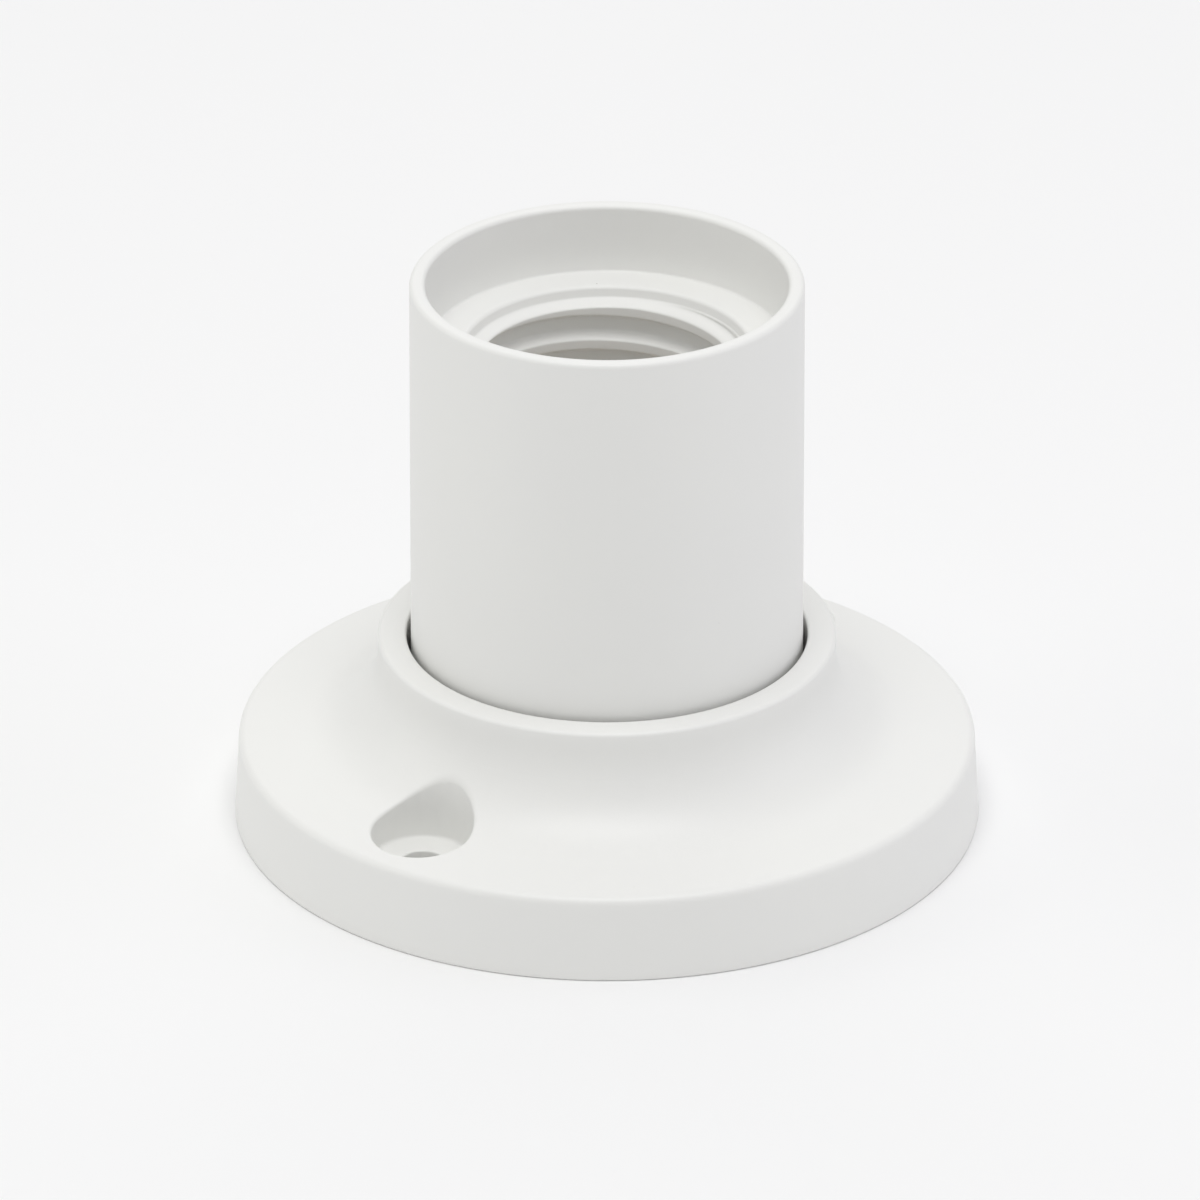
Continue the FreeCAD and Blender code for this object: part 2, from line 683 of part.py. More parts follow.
def make_clamp_washer(label, turn):
    """The cup washer that the terminal screw carries up against the wire."""
    body = new_body(label)
    section = sketch_on(body, "washer_section", "XZ_Plane")
    bore = "(terminal_screw_radius + hole_play)"
    outline(section, [
        (bore, "0"),
        ("clamp_radius", "0"),
        ("clamp_radius", "clamp_thickness + clamp_lip"),
        ("clamp_radius - clamp_lip", "clamp_thickness + clamp_lip"),
        ("clamp_radius - clamp_lip", "clamp_thickness"),
        (bore, "clamp_thickness"),
    ])
    turned(body, "washer", section)
    at_screw(body, clamp_under, turn)
    return body


def make_terminal_screw(label, turn):
    """The slotted screw, its head down towards the mounting face so that it is reached from behind."""
    body = new_body(label)
    section = sketch_on(body, "screw_section", "XZ_Plane")
    tip = "(terminal_screw_radius / 3)"
    outline(section, [
        ("0", "-terminal_head_height"),
        ("terminal_head_radius - slot_width / 2", "-terminal_head_height"),
        ("terminal_head_radius", "-terminal_head_height + slot_width / 2"),
        ("terminal_head_radius", "0"),
        ("terminal_screw_radius", "0"),
        ("terminal_screw_radius", f"terminal_screw_length - {tip}"),
        (f"terminal_screw_radius - {tip}", "terminal_screw_length"),
        ("0", "terminal_screw_length"),
    ])
    turned(body, "screw", section)
    slot = sketch_on(body, "slot_plan", "XY_Plane", lift="-terminal_head_height")
    half = "slot_width / 2"
    far = "2 * terminal_head_radius"
    outline(slot, [(f"-{far}", f"-{half}"), (far, f"-{half}"), (far, half), (f"-{far}", half)])
    cut(body, "slot", slot, "slot_depth")
    at_screw(body, clamp_under, turn)
    return body


def at_screw(body, z, turn):
    """Puts a piece on the axis of a terminal screw."""
    way = f"(terminal_angle + {turn})"
    placed(body, f"terminal_reach * cos{way}", f"terminal_reach * sin{way}", z, way)


def make_sleeve_screws():
    """The two self-tapping screws that pull the sleeve down on the base's seat, from behind."""
    body = new_body("sleeve_fixing_screws")
    section = sketch_on(body, "screw_section", "YZ_Plane", across="screw_reach")
    top = f"({seat_under} + seat_wall + screw_grip)"
    outline(section, [
        ("0", f"{seat_under} - screw_head_height"),
        ("screw_head_radius * 2 / 3", f"{seat_under} - screw_head_height"),
        ("screw_head_radius", f"{seat_under} - screw_head_height / 2"),
        ("screw_head_radius", seat_under),
        ("screw_radius", seat_under),
        ("screw_radius", f"{top} - screw_radius"),
        ("0", top),
    ])
    screw = turned(body, "screw", section)
    slots = sketch_on(body, "slot_plan", "XY_Plane", lift=f"{seat_under} - screw_head_height")
    far = "2 * screw_head_radius"
    half = "slot_width / 2"
    outline(slots, [
        (f"-{far}", f"screw_reach - {half}"),
        (far, f"screw_reach - {half}"),
        (far, f"screw_reach + {half}"),
        (f"-{far}", f"screw_reach + {half}"),
    ])
    slot = cut(body, "slot", slots, "screw_head_height / 2")
    repeated(body, "screws", [screw, slot], slots, "2")
    return body


parts = [
    make_base(),
    make_sleeve(),
    make_contact_carrier(),
    make_centre_leaf(),
    make_centre_stud(),
    make_side_contact(),
    make_sleeve_screws(),
]
for pole, turn, thickness in (("live", "0", "leaf_thickness"), ("neutral", "180", "strap_thickness")):
    parts += [
        make_rivet(f"{pole}_rivet", turn, thickness),
        make_terminal_plate(f"{pole}_terminal_plate", turn),
        make_clamp_washer(f"{pole}_clamp_washer", turn),
        make_terminal_screw(f"{pole}_terminal_screw", turn),
    ]
doc.recompute()

for item in doc.Objects:
    if "Invalid" in item.State or "Error" in item.State:
        raise SystemExit(f"{item.Label} failed: {item.State}")
for body in parts:
    if body.Shape.isNull() or not body.Shape.isValid():
        raise SystemExit(f"{body.Label} has no valid shape")
    steps = [step for step in body.Group if step.isDerivedFrom("PartDesign::Feature")]
    for before, after in zip(steps, steps[1:]):
        cuts = after.TypeId.endswith(("Pocket", "Groove", "Helix"))
        if cuts and not after.Shape.Volume < before.Shape.Volume:
            raise SystemExit(f"{body.Label}: {after.Label} cuts nothing")

os.makedirs("parts", exist_ok=True)
for body in parts:
    body.Shape.exportStep(f"parts/{body.Label}.step")
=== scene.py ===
import bmesh
import bpy
import numpy as np
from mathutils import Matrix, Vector


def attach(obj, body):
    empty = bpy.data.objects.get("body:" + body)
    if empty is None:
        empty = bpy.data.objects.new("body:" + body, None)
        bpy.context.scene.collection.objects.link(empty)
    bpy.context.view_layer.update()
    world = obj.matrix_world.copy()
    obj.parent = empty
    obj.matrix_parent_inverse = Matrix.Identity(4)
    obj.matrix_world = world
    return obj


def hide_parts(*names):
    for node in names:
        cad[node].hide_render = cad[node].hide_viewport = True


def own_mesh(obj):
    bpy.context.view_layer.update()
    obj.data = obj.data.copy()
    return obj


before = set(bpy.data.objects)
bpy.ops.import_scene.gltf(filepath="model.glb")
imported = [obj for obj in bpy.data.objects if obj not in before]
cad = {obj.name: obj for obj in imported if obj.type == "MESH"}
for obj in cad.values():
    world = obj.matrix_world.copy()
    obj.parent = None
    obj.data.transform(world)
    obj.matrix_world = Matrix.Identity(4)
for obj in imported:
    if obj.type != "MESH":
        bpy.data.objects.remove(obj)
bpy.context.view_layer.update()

# ---------------------------------------------------------------------------------------------
# base: the flared foot that screws to the wall or ceiling. One injection moulding in white
# thermoplastic, hollow underneath, with a collar round the skirt, eight ribs, two counterbored
# posts for the fixing screws and two thinned cable entries. Every edge of the mould is rounded.

# Sizes are in millimetres: radii from the axis, heights from the mounting face.
MM = 0.001
FOOT_R = 36.4
FOOT_INSIDE = 34.2
RIM_TOP = (35.9, 8.45)
SLOPE_ANGLE = np.radians(6.3)
FLARE_R = 8.0
COLLAR_R = 22.3
COLLAR_TOP = 19.1
COLLAR_BORE = 19.5
SEAT = (7.0, 9.2)
WIRING_R = 13.2
CORE_R = 21.3
WALL = 2.2
PROFILE_STEP = 0.8

# the fixing holes: the counterbore for the screw's head, the cup of wall round it, the post below
HOLE_AT = 28.75
HOLE_R = 2.1
HEAD_R = 4.9
HEAD_FLOOR = 5.7
HEAD_EDGE = 0.4
CUP_R = 6.4
CUP_UNDER = 4.2
POST_R = 4.3

# the ribs, and the cable entries with their radius at the mounting face and at their top
RIB_COUNT = 8
RIB_REACH = (20.4, 34.8)
RIB_HALF = 0.7
RIB_FOOT = 1.0
ENTRY_R = (35.5, 35.0)
ENTRY_TOP = 5.0
ENTRY_HALF = np.radians(7.5)
ENTRY_STEP = 0.001

# the grid of the foot, and the block of it that each fixing hole takes out of both skins
COLUMNS = 240
BLOCK_HALF = 9
BLOCK_ROWS = 26
BLOCK_OUTSIDE = (34.8, COLLAR_R + 0.5)
BLOCK_INSIDE = (CORE_R + 0.9, FOOT_INSIDE - 0.2)
JOIN = 1e-7


def rounded(corners, steps=6):
    """The line through the corners (x, y, radius), where each corner with a radius gives way to
    the arc of that radius that touches both its sides."""
    here = [np.array(c[:2], float) for c in corners]
    line = []
    for k, (*_, radius) in enumerate(corners):
        if radius == 0:
            line.append(here[k][None])
            continue
        back = here[k - 1] - here[k]
        ahead = here[(k + 1) % len(here)] - here[k]
        back /= np.linalg.norm(back)
        ahead /= np.linalg.norm(ahead)
        half = np.arccos(back @ ahead) / 2
        middle = here[k] + (back + ahead) / np.linalg.norm(back + ahead) * radius / np.sin(half)
        start = here[k] + back * radius / np.tan(half) - middle
        end = here[k] + ahead * radius / np.tan(half) - middle
        turn = np.arctan2(start[0] * end[1] - start[1] * end[0], start @ end)
        angle = turn * np.linspace(0, 1, max(steps, int(radius * abs(turn) / 0.35)) + 1)[:, None]
        across = np.array([-start[1], start[0]])
        line.append(middle + start * np.cos(angle) + across * np.sin(angle))
    return np.concatenate(line)


def spaced(line, step):
    """The line with points added evenly, so that no two neighbours are further apart than the step."""
    pieces = [line[:1]]
    for start, end in zip(line[:-1], line[1:]):
        count = max(1, int(np.ceil(np.linalg.norm(end - start) / step)))
        share = np.arange(1, count + 1)[:, None] / count
        pieces.append(start + (end - start) * share)
    return np.concatenate(pieces)


def strips(rings):
    """Quads between each ring of point numbers and the next, each ring closed on itself."""
    near, far = np.asarray(rings[:-1]), np.asarray(rings[1:])
    return np.stack([near, np.roll(near, -1, 1), np.roll(far, -1, 1), far], -1).reshape(-1, 4)


def numbered(grid, first=0, looped=False):
    """The point numbers of rows of points, and the first row once more at the end if the rows are a loop."""
    number = first + np.arange(grid[..., 0].size).reshape(grid.shape[:2])
    return np.r_[number, number[:1]] if looped else number


def capped(grid):
    """The rows with one more at each end, whose points all lie in the middle of the end row."""
    ends = grid[[0, -1]].mean(1, keepdims=True) + 0 * grid[[0, -1]]
    return np.concatenate([ends[:1], grid, ends[1:]])


def turned(radius, height, angle):
    """Points of a surface round the Z axis: one row for each radius and height, one column for each angle."""
    radius, height = np.broadcast_arrays(radius, height + 0 * angle)
    return np.stack([radius * np.cos(angle), radius * np.sin(angle), height], -1)


def new_piece(name, points, faces):
    """A closed smooth-shaded mesh, given its points in millimetres: points in one place become one,
    and all the faces are turned outwards."""
    mesh = bpy.data.meshes.new(name)
    used, numbers = np.unique(faces, return_inverse=True)
    mesh.from_pydata((points[used] * MM).tolist(), [], numbers.reshape(faces.shape).tolist())
    shape = bmesh.new()
    shape.from_mesh(mesh)
    bmesh.ops.remove_doubles(shape, verts=shape.verts, dist=JOIN)
    bmesh.ops.recalc_face_normals(shape, faces=shape.faces)
    shape.to_mesh(mesh)
    shape.free()
    mesh.shade_smooth()
    made = bpy.data.objects.new(name, mesh)
    bpy.context.scene.collection.objects.link(made)
    return made


def skin(radius, bend, drop):
    """Height of the foot's outer or inner skin over a radius: a straight slope below the tangent
    point, and above it an arc of the bend's radius round the flare's middle."""
    middle = COLLAR_R + FLARE_R
    slope = RIM_TOP[1] + (RIM_TOP[0] - radius) * np.tan(SLOPE_ANGLE) - drop
    centre = RIM_TOP[1] + (RIM_TOP[0] - middle) * np.tan(SLOPE_ANGLE) - drop + bend / np.cos(SLOPE_ANGLE)
    arc = centre - np.sqrt(np.maximum(bend**2 - (middle - radius) ** 2, 0))
    return np.where(radius > middle - bend * np.sin(SLOPE_ANGLE), slope, arc)


def outside(radius):
    """Height of the foot's outer skin over a radius."""
    return skin(radius, FLARE_R, 0)


def underside(radius):
    """Height of the foot's inner skin over a radius, a wall's thickness in from the outer one."""
    return skin(radius, FLARE_R + WALL, WALL / np.cos(SLOPE_ANGLE))


def foot_profile():
    """The foot's closed section: up the rim, over the slope and the flare, round the collar and the
    seat, and back under the skin to the foot of the rim."""
    under_flare = np.linspace(CORE_R + 1.2, COLLAR_R + FLARE_R - 1.2, 18)
    meeting = RIM_TOP[1] + (RIM_TOP[0] - COLLAR_R) * np.tan(SLOPE_ANGLE)
    return spaced(rounded([
        (FOOT_R, 0, 0.25),
        (*RIM_TOP, 0.8),
        (COLLAR_R, meeting, FLARE_R),
        (COLLAR_R, COLLAR_TOP, 0.4),
        (COLLAR_BORE, COLLAR_TOP, 0.3),
        (COLLAR_BORE, SEAT[1], 0.3),
        (WIRING_R, SEAT[1], 0.4),
        (WIRING_R, SEAT[0], 0.4),
        (CORE_R, SEAT[0], 0.4),
        (CORE_R, underside(CORE_R), 0.35),
        *[(radius, underside(radius), 0) for radius in under_flare],
        (FOOT_INSIDE - 0.05, underside(FOOT_INSIDE - 0.05), 0.1),
        (FOOT_INSIDE - 0.02, ENTRY_TOP + 0.05, 0),
        (FOOT_INSIDE - 0.02, ENTRY_TOP - 0.05, 0),
        (FOOT_INSIDE, 0.3, 0),
        (FOOT_INSIDE, 0, 0.15),
    ]), PROFILE_STEP)


def with_blocks(loop):
    """The section with evenly placed points where the fixing holes' blocks lie, first in the outer
    skin and then in the inner one, and the row numbers of both blocks."""
    run = np.r_[0, np.cumsum(np.linalg.norm(np.diff(loop, axis=0), axis=1))]
    radius, height = loop.T

    def reached(first, edge, inwards):
        """Distance along the section, past a point, at which it crosses a radius."""
        past = np.flatnonzero((radius[first:] < edge) if inwards else (radius[first:] > edge))[0] + first
        share = (edge - radius[past - 1]) / (radius[past] - radius[past - 1])
        return run[past - 1] + share * (run[past] - run[past - 1])

    rim = np.argmax(height > RIM_TOP[1] - 0.2)
    core = np.argmax((run > run[np.argmax(height)]) & (np.abs(radius - WIRING_R) < 0.01))
    stops = [reached(rim, edge, True) for edge in BLOCK_OUTSIDE]
    stops += [reached(core, edge, False) for edge in BLOCK_INSIDE]
    parts, blocks, count = [], [], 0
    for k, (start, end) in enumerate(zip([-1.0, *stops], [*stops, run[-1] + 1])):
        if k % 2:
            at = np.linspace(start, end, BLOCK_ROWS)
            blocks.append(count + np.arange(BLOCK_ROWS))
        else:
            at = run[(run > start + 1e-6) & (run < end - 1e-6)]
        parts.append(np.stack([np.interp(at, run, radius), np.interp(at, run, height)], 1))
        count += len(at)
    return np.concatenate(parts), blocks


def foot_columns():
    """Angles of the columns: even, with a close pair at each side of the cable entries."""
    angle = 2 * np.pi * np.arange(COLUMNS) / COLUMNS
    sides = np.pi / 2 * np.array([1, 1, 3, 3]) + ENTRY_HALF * np.array([-1, 1, -1, 1])
    near_sides = np.abs(angle[:, None] - sides).min(1) < 1e-6
    return np.sort(np.r_[angle[~near_sides], sides - ENTRY_STEP, sides + ENTRY_STEP])


def hole_rings(turn, top, under):
    """Rings of points from the block's edge in the outer skin to the counterbore, down through the
    post, and back up outside it to the block's edge in the inner skin. Both edges are given in plan."""
    hole = np.array([HOLE_AT * np.cos(turn), HOLE_AT * np.sin(turn)])

    def ring(reach, height, edge):
        """Points at a distance from the hole's axis, in line with the block's edge."""
        way = edge - hole
        way /= np.linalg.norm(way, axis=1)[:, None]
        plan = hole + way * np.reshape(reach, (-1, 1))
        flat = np.linalg.norm(plan, axis=1)
        return np.c_[plan, height(flat) if callable(height) else height + 0 * flat]

    def blended(edge, reach, height, share):
        """A ring between the block's edge and a circle round the hole, lying in the skin."""
        plan = edge + (ring(reach, 0, edge)[:, :2] - edge) * share
        return np.c_[plan, height(np.linalg.norm(plan, axis=1))]

    def in_wall(flat):
        """Height of the middle of the wall, where the cup's top is out of sight."""
        return underside(flat) + WALL / 2

    mouth = HEAD_R + HEAD_EDGE
    made = [blended(top, mouth, outside, share) for share in np.linspace(0, 1, 9)[1:]]
    # the soft edge: a curve that leaves the skin along its own slope and ends down the wall
    lip = made[-1][:, 2]
    inner = ring(mouth - 0.05, outside, top)[:, 2]
    corner = lip + (inner - lip) / 0.05 * HEAD_EDGE
    for share in np.linspace(0, 1, 8)[1:]:
        bent = (1 - share) ** 2 * lip + 2 * share * (1 - share) * corner + share**2 * (corner - HEAD_EDGE)
        made.append(ring(mouth - HEAD_EDGE * share * (2 - share), bent, top))
    wall = made[-1][:, 2]
    for share in np.linspace(0, 1, 6)[1:]:
        made.append(ring(HEAD_R, wall + (HEAD_FLOOR + 0.4 - wall) * share, top))
    # the last two corners only give the cup's side and the counterbore's their direction
    post = rounded([
        (HEAD_R, HEAD_FLOOR, 0.35),
        (HOLE_R, HEAD_FLOOR, 0.2),
        (HOLE_R, 0, 0.2),
        (POST_R, 0, 0.3),
        (POST_R, CUP_UNDER, 0.3),
        (CUP_R, CUP_UNDER, 0.3),
        (CUP_R, HEAD_FLOOR + 3, 0),
        (HEAD_R, HEAD_FLOOR + 3, 0),
    ])[:-2]
    made += [ring(reach, height, top) for reach, height in post]
    made += [ring(CUP_R, in_wall, top), ring(HEAD_R + 0.2, in_wall, under)]
    made += [blended(under, HEAD_R + 0.2, underside, share) for share in np.linspace(1, 0, 7)[:-1]]
    return np.stack(made)


def rib(turn):
    """A slab with a rounded foot, carried outwards from the core into the rim. The section's upper
    ends, at a height of 1, follow the underside instead."""
    section = spaced(rounded([
        (-RIB_HALF, 1, 0), (-RIB_HALF, 0, 0.3), (RIB_HALF, 0, 0.3), (RIB_HALF, 1, 0),
    ], steps=3), 0.7)
    along = np.linspace(*RIB_REACH, 24)
    top_edge = underside(np.clip(along, CORE_R + 0.3, None)) + WALL / 3
    rise = np.where(section[:, 1] >= 1, top_edge[:, None], RIB_FOOT + section[:, 1])
    x = along[:, None] * np.cos(turn) - section[:, 0] * np.sin(turn)
    y = along[:, None] * np.sin(turn) + section[:, 0] * np.cos(turn)
    return capped(np.stack([x, y, rise], -1))


def make_base():
    """The foot's closed section carried round the axis, with the rim's inner wall set back to a thin
    skin at the cable entries, a block of the grid at each fixing hole given over to that hole's rings,
    and the ribs."""
    line, blocks = with_blocks(foot_profile())
    angle = foot_columns()
    in_entry = np.abs(np.abs(angle - np.pi) - np.pi / 2) < ENTRY_HALF
    low = (line[:, 1] < ENTRY_TOP) & (line[:, 0] < FOOT_INSIDE + 0.2) & (line[:, 0] > FOOT_INSIDE - 0.3)
    set_back = np.interp(line[:, 1], [0, ENTRY_TOP], ENTRY_R) - FOOT_INSIDE
    reach = line[:, :1] + np.where(low, set_back, 0)[:, None] * in_entry
    grid = turned(reach, line[:, 1:], angle)
    number = numbered(grid)
    points = grid.reshape(-1, 3)

    keep = np.ones(number.shape, bool)
    parts, faces, total = [points], [], len(points)
    for turn in (0, np.pi):
        middle = int(np.argmin(np.abs(angle - turn)))
        across = (middle + np.arange(-BLOCK_HALF, BLOCK_HALF + 1)) % len(angle)
        edges = []
        for rows in (blocks[0], blocks[1][::-1]):
            keep[np.ix_(np.sort(rows)[:-1], across[:-1])] = False
            block = number[np.ix_(rows, across)]
            edges.append(np.r_[block[0], block[1:, -1], block[-1, -2::-1], block[-2:0:-1, 0]])
        rings = hole_rings(turn, *[points[edge, :2] for edge in edges])
        faces.append(strips([edges[0], *numbered(rings, total), edges[1]]))
        parts.append(rings.reshape(-1, 3))
        total += len(parts[-1])
    for k in range(RIB_COUNT):
        slab = rib(2 * np.pi * (k + 0.5) / RIB_COUNT)
        faces.append(strips(numbered(slab, total)))
        parts.append(slab.reshape(-1, 3))
        total += len(parts[-1])
    skins = strips(numbered(grid, looped=True))[keep.ravel()]
    return np.concatenate(parts), np.concatenate([skins, *faces])


def linear(colour):
    """A colour written as sRGB hex, turned into the linear values that shaders take."""
    parts = np.array([int(colour[k:k + 2], 16) for k in (1, 3, 5)]) / 255
    return (*np.where(parts <= 0.04045, parts / 12.92, ((parts + 0.055) / 1.055) ** 2.4), 1.0)


def add(tree, kind, inputs=None, **settings):
    """Adds a node: settings go on the node itself, and each input takes a value or another node's output."""
    made = tree.nodes.new(kind)
    for name, value in settings.items():
        setattr(made, name, value)
    for name, value in (inputs or {}).items():
        if isinstance(value, bpy.types.NodeSocket):
            tree.links.new(value, made.inputs[name])
        else:
            made.inputs[name].default_value = value
    return made


def new_material(name):
    """A new material with its node tree, its shader, and the place in the object in millimetres."""
    made = bpy.data.materials.new(name)
    made.use_nodes = True
    tree = made.node_tree
    tree.nodes.clear()
    shader = add(tree, "ShaderNodeBsdfPrincipled")
    add(tree, "ShaderNodeOutputMaterial", {"Surface": shader.outputs["BSDF"]})
    coordinates = add(tree, "ShaderNodeTexCoord")
    place = add(tree, "ShaderNodeVectorMath", {0: coordinates.outputs["Object"], 1: (1000, 1000, 1000)},
                operation="MULTIPLY")
    return made, tree, shader, place.outputs["Vector"]


def mould_white(name, plain, shaded, specks):
    """White thermoplastic from an injection mould with a fine spark-eroded finish. The grain gives a
    satin sheen, slow flow marks break up the broad highlights, and a few specks of dust lie on it."""
    made, tree, shader, place = new_material(name)
    flow = add(tree, "ShaderNodeTexNoise", {"Vector": place, "Scale": 1 / 16, "Detail": 2})
    tint = add(tree, "ShaderNodeMix", {
        "Factor": flow.outputs["Fac"], 6: linear(plain), 7: linear(shaded),
    }, data_type="RGBA")
    dust = add(tree, "ShaderNodeTexVoronoi", {"Vector": place, "Scale": 1 / 2.6, "Randomness": 1})
    size = add(tree, "ShaderNodeTexNoise", {"Vector": place, "Scale": 1 / 7, "Detail": 0})
    near = add(tree, "ShaderNodeMapRange", {
        "Value": size.outputs["Fac"], "From Min": 0.62, "From Max": 0.8, "To Min": 0, "To Max": specks,
    })
    spot = add(tree, "ShaderNodeMath", {0: dust.outputs["Distance"], 1: near.outputs["Result"]},
               operation="LESS_THAN")
    soiled = add(tree, "ShaderNodeMix", {
        "Factor": spot.outputs["Value"], 6: tint.outputs[2], 7: linear("#8C857A"),
    }, data_type="RGBA")
    tree.links.new(soiled.outputs[2], shader.inputs["Base Color"])
    grain = add(tree, "ShaderNodeTexNoise", {"Vector": place, "Scale": 1 / 0.22, "Detail": 2})
    sheen = add(tree, "ShaderNodeMapRange", {
        "Value": grain.outputs["Fac"], "From Min": 0.3, "From Max": 0.7, "To Min": 0.38, "To Max": 0.48,
    })
    tree.links.new(sheen.outputs["Result"], shader.inputs["Roughness"])
    fine = add(tree, "ShaderNodeBump", {
        "Height": grain.outputs["Fac"], "Distance": 0.004 * MM, "Strength": 1,
    })
    slow = add(tree, "ShaderNodeBump", {
        "Height": flow.outputs["Fac"], "Distance": 0.06 * MM, "Strength": 1,
        "Normal": fine.outputs["Normal"],
    })
    tree.links.new(slow.outputs["Normal"], shader.inputs["Normal"])
    shader.inputs["IOR"].default_value = 1.5
    return made


def painted(thing, material):
    """Gives the object the material in its one slot."""
    thing.data.materials.clear()
    thing.data.materials.append(material)
    return thing


base_plastic = mould_white("moulded_white_thermoplastic_foot", "#F0F0ED", "#EEEEEC", 0.03)
base = painted(new_piece("base_moulding", *make_base()), base_plastic)
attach(base, "holder")
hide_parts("base")

# ---------------------------------------------------------------------------------------------
# sleeve: the straight skirt with the threaded barrel inside it, joined at the ledge. A second
# moulding in the same white thermoplastic. It stands on the base's seat inside the collar and is
# pulled down by two self-tapping screws, driven from behind into the bosses beside the barrel.

# The pairs go from the foot of the piece to its top.
SKIRT_R = (19.1, 18.93)
SKIRT_FOOT = 9.2
SKIRT_TOP = 56.4
SKIRT_INSIDE = 17.4
MOUTH_R = (17.25, 17.4)
LEDGE = (47.9, 49.5)
LEDGE_R = 13.75
LEDGE_EDGE = 0.5
RELIEF_R = 13.5
RELIEF_FOOT = 48.6
LIP_R = 12.2
LIP_TOP = 30.6
BARREL_FOOT = 28.6
BARREL_R = 15.05
BOSS_AT = 16.2
BOSS_R = 2.3
PILOT_R = 1.4
PILOT_DEPTH = 12.7

# the thread: ROOT_AT and GROOVE_START are heights of the groove's middle where the angle is zero
PITCH = 3.629
CREST_R = 12.25
CREST_HALF = 0.4
CREST_TOP = 47.85
ROOT_R = 13.35
ROOT_HALF = 0.6
ROOT_AT = 45.36
GROOVE_START = 34.823
SLEEVE_COLUMNS = 256
THREAD_ROWS = 240
BOSS_COLUMNS = 48


def thread_radius(height, angle):
    """The moulded lamp thread: a level root, a level crest and between them a flank that leaves both
    smoothly (three t squared less two t cubed), rising by the pitch in a turn. The groove grows out
    of the plain wall over its first tenth of a turn, and opens in the same way under the ledge."""
    turns = (height - ROOT_AT) / PITCH - angle / (2 * np.pi)
    away = np.abs(turns - np.round(turns)) * PITCH
    share = np.clip((away - ROOT_HALF) / (PITCH / 2 - ROOT_HALF - CREST_HALF), 0, 1)
    depth = (ROOT_R - CREST_R) * (1 - share**2 * (3 - 2 * share))
    since_start = (ROOT_AT - GROOVE_START) / PITCH + angle / (2 * np.pi) + np.round(turns)
    above = np.clip((height - CREST_TOP) / (RELIEF_FOOT - CREST_TOP), 0, 1)
    opening = CREST_R + (RELIEF_R - CREST_R) * above**2 * (3 - 2 * above)
    return np.maximum(CREST_R + depth * np.clip(since_start * 10, 0, 1), opening)


def make_sleeve():
    """One closed profile round the skirt, over the mouth, down the barrel and back up under the
    ledge, where the rows across the thread take their radius from it. Each boss is a cup on a
    smaller profile, set beside the barrel."""
    loop = rounded([
        (SKIRT_R[0], SKIRT_FOOT, 0.3),
        (SKIRT_R[1], SKIRT_TOP, 0.5),
        (MOUTH_R[1], SKIRT_TOP, 0.5),
        (MOUTH_R[0], LEDGE[1], 0.25),
        (LEDGE_R, LEDGE[1], LEDGE_EDGE),
        (RELIEF_R, RELIEF_FOOT, 0),
        (CREST_R, LIP_TOP, 0),
        (LIP_R, LIP_TOP - 0.05, 0),
        (LIP_R, BARREL_FOOT, 0.2),
        (BARREL_R, BARREL_FOOT, 0.3),
        (BARREL_R, LEDGE[0], 0.5),
        (MOUTH_R[0], LEDGE[0], 0.5),
        (SKIRT_INSIDE, SKIRT_FOOT, 0.3),
    ])
    top = np.flatnonzero(loop[:, 1] == RELIEF_FOOT)[0]
    threaded = np.linspace(RELIEF_FOOT, LIP_TOP, THREAD_ROWS)[1:-1, None] * [0, 1]
    loop = np.concatenate([loop[:top + 1], threaded, loop[top + 1:]])
    angle = 2 * np.pi * np.arange(SLEEVE_COLUMNS) / SLEEVE_COLUMNS
    radius = loop[:, :1] + 0 * angle
    rows = slice(top, top + THREAD_ROWS)
    radius[rows] = thread_radius(loop[rows, 1:], angle)
    parts = [turned(radius, loop[:, 1:], angle)]

    boss = rounded([
        (0.01, SKIRT_FOOT + PILOT_DEPTH + 1.0, 0),
        (PILOT_R, SKIRT_FOOT + PILOT_DEPTH, 0.2),
        (PILOT_R, SKIRT_FOOT, 0.2),
        (BOSS_R, SKIRT_FOOT, 0.3),
        (BOSS_R, LEDGE[0] + 0.8, 0),
        (0.01, LEDGE[0] + 0.8, 0),
    ])
    round_boss = 2 * np.pi * np.arange(BOSS_COLUMNS) / BOSS_COLUMNS
    for side in (BOSS_AT, -BOSS_AT):
        parts.append(turned(boss[:, :1], boss[:, 1:], round_boss) + [0, side, 0])
    faces, total = [], 0
    for part in parts:
        faces.append(strips(numbered(part, total, looped=True)))
        total += part[..., 0].size
    return np.concatenate([part.reshape(-1, 3) for part in parts]), np.concatenate(faces)


sleeve_plastic = mould_white("moulded_white_thermoplastic_sleeve", "#F0F0ED", "#EEEEEC", 0.03)
sleeve = painted(new_piece("sleeve_moulding", *make_sleeve()), sleeve_plastic)
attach(sleeve, "holder")
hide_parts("sleeve")

# ---------------------------------------------------------------------------------------------
# contact_carrier: the insert that holds the contacts and the terminals. Pressed and cured in a
# heat-resistant compound, harder and greyer than the outer mouldings, with a duller skin. It is
# trapped between the base's seat and the barrel's foot.

